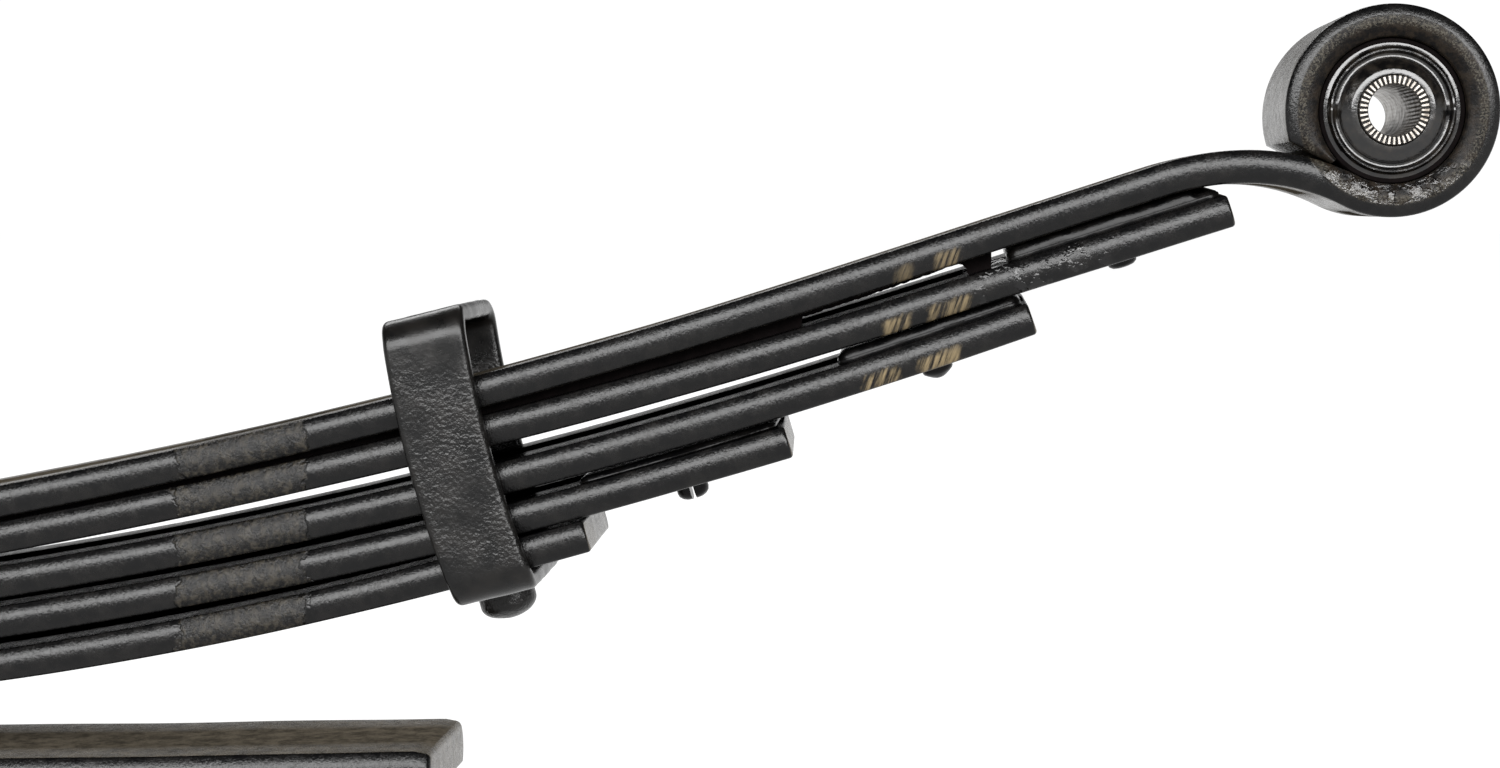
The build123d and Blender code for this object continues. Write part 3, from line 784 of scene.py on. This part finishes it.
def web_mesh(face_side, tear):
    """Paint that bridged the narrow gap between the top two leaves, torn open towards its end."""
    rings = []
    x = WEB_START_X
    while x < tear[-1][0]:
        bulge = 0.5 * noise.noise(Vector((x / 4.0, 3.0, face_side)))
        y = face_side * (LEAF_WIDTH / 2 - WEB_INSET + bulge)
        under = height_at(MAIN_LINE, x, -LEAF_THICKNESS / 2) + WEB_OVERLAP
        over = height_at(SECOND_LINE, x, LEAF_THICKNESS / 2) - WEB_OVERLAP + twist_rise(x, y, SECOND_TWIST)
        ragged = 0.5 * noise.noise(Vector((x / 1.6, 1.0, 4.0)))
        ragged += 0.25 * noise.noise(Vector((x / 0.6, 7.0, 4.0)))
        hang = hang_at(tear, x)
        low = max(over, under - WEB_OVERLAP - max(0.05, hang + ragged * min(1.0, hang)))
        back = y - face_side * WEB_THICKNESS
        corners = [(x, y, under), (x, back, under), (x, back, low - 0.01), (x, y, low - 0.01)]
        rings.append(corners[::face_side])
        x += WEB_STEP
    return loft(rings)


# the webs wear the shaded copy of the paint, as painted shade inside the gap
for face_side, label, tear in ((-1, "near", NEAR_TEAR), (1, "far", FAR_TEAR)):
    verts, faces = web_mesh(face_side, tear)
    both_ends(f"{label}_paint_web", verts, faces, WEB_PAINT)

# ---------------------------------------------------------------- rebound clip and rivet

CLIP_SETBACK = 29.6
CLIP_LEAN = 1.8
CLIP_WIDTH = 23.5
CLIP_THICKNESS = 5.0
CLIP_INNER_WIDTH = 64.8
CLIP_INNER_HEIGHT = 72.4
CLIP_SEAT_GAP = 0.45
CLIP_BEND_RADIUS = 8.5
CLIP_EDGE_RADIUS = 1.9
CLIP_SKEW = 0.02  # the far strap sits a little further back along the spring
CLIP_BOW = 1.8  # how far the straps bow back at half height
CLIP_KICK = 1.3  # how far their feet turn forward

clip_station = station_back(FIFTH_LINE, CLIP_SETBACK)
clip_foot = lifted(clip_station, -LEAF_THICKNESS / 2 - CLIP_SEAT_GAP)
clip_heading = clip_station[2] - math.radians(CLIP_LEAN)


def clip_point(along, across, up):
    """A point given in the clip's own frame, bowed and skewed, in the spring's frame."""
    along -= CLIP_SKEW * (across + CLIP_INNER_WIDTH / 2) if across > -CLIP_INNER_WIDTH / 2 else 0
    share = min(1.0, max(0.0, up / CLIP_INNER_HEIGHT))
    along += CLIP_KICK * (1 - share) ** 2 - 4 * CLIP_BOW * share * (1 - share)
    c, s = math.cos(clip_heading), math.sin(clip_heading)
    return (clip_foot[0] + along * c - up * s, across, clip_foot[1] + along * s + up * c)


def band_path(width, height, radius, steps=10, spacing=1.8):
    """Closed rounded rectangle (across, up, outward across, outward up), starting under the leaves."""
    half_w, half_h = width / 2 - radius, height / 2 - radius
    corners = ((half_w, -half_h, -90), (half_w, half_h, 0), (-half_w, half_h, 90), (-half_w, -half_h, 180))
    points = []
    for cx, cy, start in corners:
        for i in range(steps + 1):
            a = math.radians(start + 90 * i / steps)
            points.append((cx + radius * math.cos(a), cy + radius * math.sin(a), math.cos(a), math.sin(a)))
        x, y, nx, ny = points[-1]
        run = 2 * (half_h if start in (-90, 90) else half_w)
        dx, dy = -ny, nx
        count = round(run / spacing)
        points += [(x + dx * run * j / count, y + dy * run * j / count, nx, ny) for j in range(1, count)]
    return points


strap = rounded_profile(CLIP_WIDTH, CLIP_THICKNESS, CLIP_EDGE_RADIUS, corner_steps=6, flat_steps=12)
mid_w = CLIP_INNER_WIDTH + CLIP_THICKNESS
mid_h = CLIP_INNER_HEIGHT + CLIP_THICKNESS
rings = []
for v, w, nv, nw in band_path(mid_w, mid_h, CLIP_BEND_RADIUS - CLIP_THICKNESS / 2):
    ring = []
    for along, out in strap:
        bumpy = wobble(along, v * 1.3, w, 9.0, 0.18) + wobble(along, v, w * 1.2, 3.2, 0.07, 3)
        reach = out + bumpy
        ring.append(clip_point(along, v + nv * reach, w + mid_h / 2 - CLIP_THICKNESS / 2 + nw * reach))
    rings.append(ring)
verts, faces = loft(rings, closed=True)
both_ends("clip_band", verts, faces, CLIP_PAINT, each_node="rebound_clip")

RIVET_RADIUS = 5.0
RIVET_HEAD_RADIUS = 8.3
RIVET_HEAD_WALL = 4.0
RIVET_HEAD_HEIGHT = 8.7
RIVET_SETBACK = 1.2
RIVET_TAIL_RADIUS = 7.0
RIVET_TAIL_HEIGHT = 1.2
RIVET_SEGMENTS = 72
rivet_up = (-math.sin(clip_station[2]), math.cos(clip_station[2]))
rivet_along = (math.cos(clip_station[2]), math.sin(clip_station[2]))
head_top = -CLIP_THICKNESS - CLIP_LEAN / 4
tail_top = CLIP_SEAT_GAP + LEAF_THICKNESS + 0.06
outline = [(0.0, head_top - RIVET_HEAD_HEIGHT)]
for i in range(1, 13):
    a = math.radians(90 * i / 12)
    dome = RIVET_HEAD_HEIGHT - RIVET_HEAD_WALL
    outline.append((RIVET_HEAD_RADIUS * math.sin(a), head_top - RIVET_HEAD_WALL - dome * math.cos(a)))
outline += [(RIVET_HEAD_RADIUS, head_top - 0.4), (RIVET_HEAD_RADIUS - 0.4, head_top)]
outline.append((RIVET_RADIUS, head_top))
tail_end = tail_top + RIVET_TAIL_HEIGHT
outline += [(RIVET_RADIUS, tail_top), (RIVET_TAIL_RADIUS - 0.2, tail_top)]
outline += [(RIVET_TAIL_RADIUS, tail_top + 0.4), (RIVET_TAIL_RADIUS - 0.4, tail_end), (0.0, tail_end)]
rings = []
for radius, up in outline:
    ring = []
    for i in range(RIVET_SEGMENTS):
        a = 2 * math.pi * i / RIVET_SEGMENTS
        u, v = max(radius, 0.02) * math.cos(a), max(radius, 0.02) * math.sin(a)
        lumpy = wobble(u, v, up, 5.0, 0.35, 9) if radius > 1 and up < head_top - 1 else 0.0
        h = up + lumpy * 0.6
        u *= 1 + lumpy * 0.02
        u -= RIVET_SETBACK
        ring.append((
            clip_foot[0] + u * rivet_along[0] + h * rivet_up[0],
            v,
            clip_foot[1] + u * rivet_along[1] + h * rivet_up[1],
        ))
    rings.append(ring)
verts, faces = loft([ring[::-1] for ring in rings])
both_ends("clip_rivet_body", verts, faces, FASTENER_PAINT, each_node="clip_rivet")

# ---------------------------------------------------------------- tip pads

PAD_WIDTH = 54.0
PAD_TIP_SETBACK = 1.5
PAD_LIP_LENGTH = 8.5
PAD_LIP_HEIGHT = 2.4


def pad_mesh(line, thickness, length, seed, lip=False):
    """A pad lying on a leaf's tip: a thin flange under a slightly narrower block, with rounded ends."""
    end = station_back(line, PAD_TIP_SETBACK)
    rings = []
    count = 90
    for i in range(count + 1):
        t = i / count
        station = station_back(line, PAD_TIP_SETBACK + length * (1 - t))
        edge = min(t, 1 - t) * length
        round_in = 4.0 - math.sqrt(max(0.0, 16.0 - (4.0 - min(edge, 4.0)) ** 2))
        height = thickness
        if lip and (1 - t) * length < PAD_LIP_LENGTH - PAD_TIP_SETBACK:
            height = PAD_LIP_HEIGHT
        rise = height * min(1.0, 0.4 + 0.6 * math.sqrt(min(edge, 2.5) / 2.5))
        half = PAD_WIDTH / 2 - round_in
        flange = min(1.0, thickness * 0.3)
        outline = [
            (half, 0.02), (half + 0.1, flange * 0.5), (half, flange), (half - 0.7, flange + 0.15),
            (half - 0.9, rise * 0.7), (half - 1.3, rise * 0.93), (half - 2.2, rise),
            (half * 0.5, rise), (0, rise), (-half * 0.5, rise),
            (-half + 2.2, rise), (-half + 1.3, rise * 0.93), (-half + 0.9, rise * 0.7),
            (-half + 0.7, flange + 0.15), (-half, flange), (-half - 0.1, flange * 0.5), (-half, 0.02),
            (-half * 0.5, 0.02), (0, 0.02), (half * 0.5, 0.02),
        ]
        ring = []
        for v, w in outline:
            x, z = lifted(station, LEAF_THICKNESS / 2 + w)
            v += wobble(x, v, z, 7.0, 0.35, seed) * (1 if v > 0 else -1)
            ring.append((x, -v, z))
        rings.append(ring)
    return loft(rings)


def peg_rings(station, outline, segments=40, keep=None):
    """A turned peg head under a leaf, from (radius, depth below the leaf); keep squeezes it in plan."""
    rings = []
    for radius, depth in outline:
        ring = []
        for i in range(segments):
            a = -2 * math.pi * i / segments
            u, v = max(radius, 0.02) * math.cos(a), max(radius, 0.02) * math.sin(a)
            if keep:
                u, v = keep(u, v)
            x, z = lifted(station, -LEAF_THICKNESS / 2 - depth, u)
            ring.append((x, v, z))
        rings.append(ring)
    return rings


def joined(parts):
    """The points and faces of several shapes as one."""
    verts, faces = [], []
    for v, f in parts:
        base = len(verts)
        verts += v
        faces += [tuple(base + i for i in face) for face in f]
    return verts, faces


# (radius, depth below the leaf) down each kind of peg head
FLAT_HEAD = [(4.5, -6.0), (4.5, 0.4), (4.4, 1.4), (4.0, 2.5), (3.1, 3.2), (1.6, 3.5), (0.0, 3.55)]
POINTED_HEAD = [(4.5, -6.0), (4.5, 2.4), (4.2, 3.0), (3.2, 3.7), (2.0, 4.4), (1.0, 4.8), (0.0, 4.9)]
PRONG_HEAD = [(4.5, -6.0), (4.5, 3.0), (4.2, 4.0), (3.2, 4.9), (2.0, 5.4), (0.0, 5.6)]


def half_prong(sign):
    """Keeps one half of a round peg, on one side of the slot."""
    def keep(u, v):
        return sign * max(sign * u, 0.0) * 0.9 + sign * 0.6, v
    return keep


def kept_below(verts, line, twist):
    """Keeps the points under the leaf above, at that leaf's own twist."""
    kept = []
    for x, y, z in verts:
        ceiling = height_at(line, x, -LEAF_THICKNESS / 2) + twist_rise(x, y, twist) - 0.05
        kept.append((x, y, min(z, ceiling)))
    return kept


# thickness, length and how far the peg stands back from the leaf's tip
SECOND_PAD = (3.7, 61.1, 31.4)
THIRD_PAD = (3.2, 53.8, 29.9)
FOURTH_PAD = (1.8, 57.9, 31.5)

for name, line, sizes, head, twist, above, above_twist in (
    ("second", SECOND_LINE, SECOND_PAD, FLAT_HEAD, SECOND_TWIST, MAIN_LINE, (0.0, 0.0)),
    ("third", THIRD_LINE, THIRD_PAD, POINTED_HEAD, THIRD_TWIST, SECOND_LINE, SECOND_TWIST),
    ("fourth", FOURTH_LINE, FOURTH_PAD, PRONG_HEAD, FOURTH_TWIST, THIRD_LINE, THIRD_TWIST),
):
    thickness, length, setback = sizes
    station = station_back(line, setback)
    parts = [pad_mesh(line, thickness, length, len(name), lip=name == "second")]
    if head is PRONG_HEAD:
        parts += [loft(peg_rings(station, head, keep=half_prong(sign))) for sign in (1, -1)]
    else:
        parts.append(loft(peg_rings(station, head)))
    verts, faces = joined(parts)
    verts = kept_below(twisted(verts, twist), above, above_twist)
    both_ends(f"{name}_tip_pad", verts, faces, PLASTIC, each_node=f"{name}_leaf_pad")

# ---------------------------------------------------------------- bushes

# half of the rubber's outline, (radius, distance from its middle): round the sleeve, a lip, a groove
# and a second lip, then down to the shell
RUBBER_FACE = [
    (9.55, 32.0), (9.9, 32.3), (11.2, 32.3), (11.5, 32.1), (12.4, 31.5), (13.4, 30.8), (14.1, 30.2),
    (14.35, 29.9), (14.45, 29.1), (14.7, 28.9), (15.5, 28.9), (15.9, 29.2), (16.15, 30.0), (16.4, 30.25),
    (16.8, 30.25), (17.05, 29.9), (17.2, 28.9), (17.6, 28.5), (18.55, 28.4),
]
RUBBER_SEGMENTS = 240
NUB_PITCH_RADIUS = 16.6
NUB_WIDTH = 1.6
NUB_HEIGHT = 0.9
SHELL_WALL = 1.48
SHELL_SEGMENTS = 160


def sleeve_mesh(centre):
    """Inner sleeve whose ends carry radial serrations."""
    half = SLEEVE_LENGTH / 2
    steps = SERRATION_COUNT * 10
    bore = SLEEVE_BORE_RADIUS
    radii = [bore + 0.25, bore + 0.6, 8.0, 8.8, SLEEVE_RADIUS - 0.5, SLEEVE_RADIUS - 0.15]
    outline = [(bore, -half + 0.3), (bore, 0.0), (bore, half - 0.3)]
    outline += [(r, half) for r in radii]
    outline += [(SLEEVE_RADIUS, half - 0.35), (SLEEVE_RADIUS, -half + 0.35)]
    outline += [(r, -half) for r in radii[::-1]]

    def groove(radius, along, angle):
        if abs(along) < half - 0.01:
            return 0.0
        phase = (angle * SERRATION_COUNT / (2 * math.pi)) % 1.0
        share = max(0.0, 1 - abs(phase - 0.5) / 0.24)
        depth = SERRATION_DEPTH * min(1.0, 1.5 * share)
        return -math.copysign(depth, along)

    return closed_lathe(outline[::-1], steps, centre, groove)


def rubber_mesh(centre):
    """Moulded rubber with ring lips round the sleeve, and a nub at each side of the outer lip."""
    inner, outer = RUBBER_FACE[0][0], RUBBER_FACE[-1][0]
    outline = [(inner, 0.0)] + RUBBER_FACE + [(outer, 0.0)] + [(r, -y) for r, y in RUBBER_FACE[::-1]]

    def nub(radius, along, angle):
        if not 15.0 < radius < 17.5:
            return 0.0
        bump = 0.0
        for side in (0.0, math.pi):
            turn = (angle - side + math.pi) % (2 * math.pi) - math.pi
            bump += math.exp(-(turn * NUB_PITCH_RADIUS / NUB_WIDTH) ** 2)
        return math.copysign(NUB_HEIGHT * bump, along)

    return closed_lathe(outline[::-1], RUBBER_SEGMENTS, centre, nub)


def shell_mesh(centre):
    """Outer steel shell of the bush."""
    half = SHELL_LENGTH / 2
    inner = SHELL_RADIUS - SHELL_WALL
    outline = [(inner, -half), (inner, half), (inner + 0.4, half + 0.2), (SHELL_RADIUS - 0.4, half + 0.2)]
    outline += [(SHELL_RADIUS, half - 0.3), (SHELL_RADIUS, -half + 0.3)]
    outline += [(SHELL_RADIUS - 0.4, -half - 0.2), (inner + 0.4, -half - 0.2)]
    return closed_lathe(outline[::-1], SHELL_SEGMENTS, centre)


for side, sign in (("front", 1), ("rear", -1)):
    centre = (sign * EYE_X, EYE_Z)
    for name, build, material, slot, body in (
        ("bush_sleeve", sleeve_mesh, SLEEVE_STEEL, "sleeve_steel", "sleeve"),
        ("bush_rubber", rubber_mesh, RUBBER, "bush_rubber", "eye"),
        ("bush_shell", shell_mesh, SHELL_PAINT, "shell_steel", "eye"),
    ):
        verts, faces = build(centre)
        piece = dress(new_object(f"{side}_{name}_ring", verts, faces), material)
        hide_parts(f"{side}_{name}")
        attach(piece, f"{side}_{body}")

# ---------------------------------------------------------------- helper leaf, spacer, bolt and nut

HELPER_PROFILE = bowed_profile(LEAF_WIDTH, HELPER_THICKNESS)
HELPER_DROOP = 1.5
HELPER_DROOP_LENGTH = 6.0
HELPER_TIP_RADIUS = 1.2
HELPER_PLAN_RADIUS = 2.0


def drooped(point):
    """Shearing pulled the bar's end down a little."""
    x, y, z = point
    share = max(0.0, 1 - (HELPER_TIP_X - x) / HELPER_DROOP_LENGTH)
    return (x, y, z - HELPER_DROOP * share * share)


front_half = bar_rings(
    HELPER_LINE, HELPER_PROFILE, HELPER_TIP_RADIUS, HELPER_PLAN_RADIUS, uneven=0.2, seed=11.0
)
front_half = [[drooped(point) for point in twisted(ring, HELPER_TWIST)] for ring in front_half]
rear_half = [[(-x, y, z) for x, y, z in ring] for ring in front_half[:0:-1]]
verts, faces = loft(rear_half + front_half)
helper = dress(new_object("helper_bar", verts, faces), PLAIN_PAINT)
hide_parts("helper_leaf")
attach(helper, "pack")

BOLT_RADIUS = 6.0
BOLT_TAIL = 3.0
THREAD_PITCH = 1.5
THREAD_DEPTH = 0.8
LOCATING_HEAD_RADIUS = 9.5
LOCATING_HEAD_HEIGHT = 8.0
NUT_ACROSS_FLATS = 19.0
NUT_HEIGHT = 10.0
NUT_SEGMENTS = 144
NUT_TOP = STACK_TOP + NUT_HEIGHT


def upright_lathe(outline, segments, reach=None):
    """Closed solid turned about the vertical axis through the seat, from (radius, height) points."""
    rings = []
    for radius, height in outline:
        ring = []
        for i in range(segments):
            a = 2 * math.pi * i / segments
            r, h = reach(radius, height, a) if reach else (radius, height)
            ring.append((r * math.cos(a), r * math.sin(a), h))
        rings.append(ring)
    return loft(rings)


bolt_end = NUT_TOP + BOLT_TAIL
outline = [(7.9, -LOCATING_HEAD_HEIGHT), (8.6, -LOCATING_HEAD_HEIGHT + 0.25), (LOCATING_HEAD_RADIUS, -6.9)]
outline += [(LOCATING_HEAD_RADIUS, -0.3), (LOCATING_HEAD_RADIUS - 0.3, 0.0), (BOLT_RADIUS, 0.0)]
height = STACK_TOP - 2.0
outline.append((BOLT_RADIUS, height))
while height < bolt_end - THREAD_PITCH - 0.8:
    outline.append((BOLT_RADIUS - THREAD_DEPTH, height + THREAD_PITCH * 0.45))
    outline.append((BOLT_RADIUS, height + THREAD_PITCH * 0.9))
    height += THREAD_PITCH
    outline.append((BOLT_RADIUS, height))
outline += [(BOLT_RADIUS - 1.0, bolt_end - 0.1), (BOLT_RADIUS - 1.3, bolt_end), (0.05, bolt_end)]


def threaded(radius, height, angle):
    """Turns the grooves above the pack into one spiral thread."""
    if STACK_TOP - 1.0 < height < bolt_end - THREAD_PITCH:
        height += THREAD_PITCH * (angle / (2 * math.pi) - 0.5) * 0.98
    return radius, height


verts, faces = upright_lathe(outline, 72, threaded)
bolt = dress(new_object("centre_bolt_body", verts, faces), FASTENER_PAINT)
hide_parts("centre_bolt")
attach(bolt, "pack")


def hexagonal(radius, height, angle):
    """Draws a turned nut in to its six flats, with the crown's corners chamfered."""
    corner = (angle % (math.pi / 3)) - math.pi / 6
    flat = NUT_ACROSS_FLATS / 2 / math.cos(corner)
    if radius < NUT_ACROSS_FLATS / 2 - 0.6:
        return radius, height
    drop = max(0.0, flat - NUT_ACROSS_FLATS / 2 - 0.1) * 0.6
    if height > NUT_TOP - 1.6:
        return min(radius, flat), min(height, NUT_TOP - drop)
    return flat, height


nut_face = NUT_ACROSS_FLATS / 2
nut_corner = nut_face * 1.1547
nut_bore = BOLT_RADIUS + 0.05
outline = [(nut_bore, STACK_TOP + 0.05), (nut_face, STACK_TOP + 0.05), (nut_face, NUT_TOP - 1.7)]
outline += [(nut_corner, NUT_TOP - 0.4), (nut_face * 0.99, NUT_TOP)]
outline += [(BOLT_RADIUS + 0.9, NUT_TOP), (nut_bore, NUT_TOP - 0.8)]
verts, faces = upright_lathe(outline, NUT_SEGMENTS, hexagonal)
# the loft's end caps give way to the wall of the bore
faces = [f for f in faces if len(f) == 4]
last = (len(outline) - 1) * NUT_SEGMENTS
for i in range(NUT_SEGMENTS):
    j = (i + 1) % NUT_SEGMENTS
    faces.append((last + i, last + j, j, i))
nut = dress(new_object("centre_nut_body", verts, faces, 25.0), FASTENER_PAINT)
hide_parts("centre_nut")
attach(nut, "pack")

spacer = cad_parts["spacer_plate"]
spacer.data.materials.clear()
spacer.data.materials.append(PLAIN_PAINT)

# ---------------------------------------------------------------- floor, light and camera

FLOOR_SIZE = 30.0
FLOOR_GAP = 0.0005
bpy.ops.mesh.primitive_plane_add(size=FLOOR_SIZE, location=(0.3, 6.0, cad_low[2] - FLOOR_GAP))
floor = bpy.context.object
floor.name = "studio_floor"
n = Nodes("studio_floor")
n.put(n.shader, "Base Color", rgba(0.12, 0.12, 0.12))
n.put(n.shader, "Roughness", 0.9)
n.put(n.shader, "Specular IOR Level", 0.0)
n.put(n.shader, "Emission Color", rgba(1, 1, 1))
n.put(n.shader, "Emission Strength", 1.0)
floor.data.materials.append(n.material)


def area_light(name, place, target, size_x, size_y, radiance):
    """A soft box whose face is this many times as bright as white paper."""
    data = bpy.data.lights.new(name, "AREA")
    data.shape = "RECTANGLE"
    data.size, data.size_y, data.energy = size_x, size_y, radiance * math.pi * size_x * size_y
    lamp = bpy.data.objects.new(name, data)
    lamp.location = place
    lamp.rotation_euler = (Vector(target) - Vector(place)).to_track_quat("-Z", "Y").to_euler()
    bpy.context.scene.collection.objects.link(lamp)
    return lamp


area_light("front_box", (0.55, -2.0, 0.98), (0.5, 0.0, 0.12), 5.0, 1.05, 17.5)
area_light("rear_box", (-0.3, 2.4, 2.2), (0.0, 0.0, 0.1), 2.4, 0.8, 8.0)

world = bpy.data.worlds.new("studio")
world.use_nodes = True
tree = world.node_tree
background = tree.nodes["Background"]
coords = tree.nodes.new("ShaderNodeTexCoord")
split = tree.nodes.new("ShaderNodeSeparateXYZ")
ramp = tree.nodes.new("ShaderNodeValToRGB")
tree.links.new(coords.outputs["Generated"], split.inputs[0])
tree.links.new(split.outputs["Z"], ramp.inputs[0])
tree.links.new(ramp.outputs["Color"], background.inputs["Color"])
ramp.color_ramp.elements[0].position = 0.085
ramp.color_ramp.elements[0].color = rgba(1.0, 1.0, 1.0)
ramp.color_ramp.elements[1].position = 0.24
ramp.color_ramp.elements[1].color = rgba(0.025, 0.025, 0.026)
background.inputs["Strength"].default_value = 1.05
bpy.context.scene.world = world
bpy.context.scene.view_settings.view_transform = "Standard"

CAMERA_PLACE = (0.5753, -0.88375, (EYE_Z - 25.8) * MM)
CAMERA_DOWN = 3.324
CAMERA_LEFT = 3.429
camera_data = bpy.data.cameras.new("camera")
camera_data.sensor_width = 36.0
camera_data.lens = 73.97
camera = bpy.data.objects.new("camera", camera_data)
camera.location = CAMERA_PLACE
camera.rotation_euler = (math.radians(90 - CAMERA_DOWN), 0, math.radians(CAMERA_LEFT))
bpy.context.scene.collection.objects.link(camera)
bpy.context.scene.camera = camera
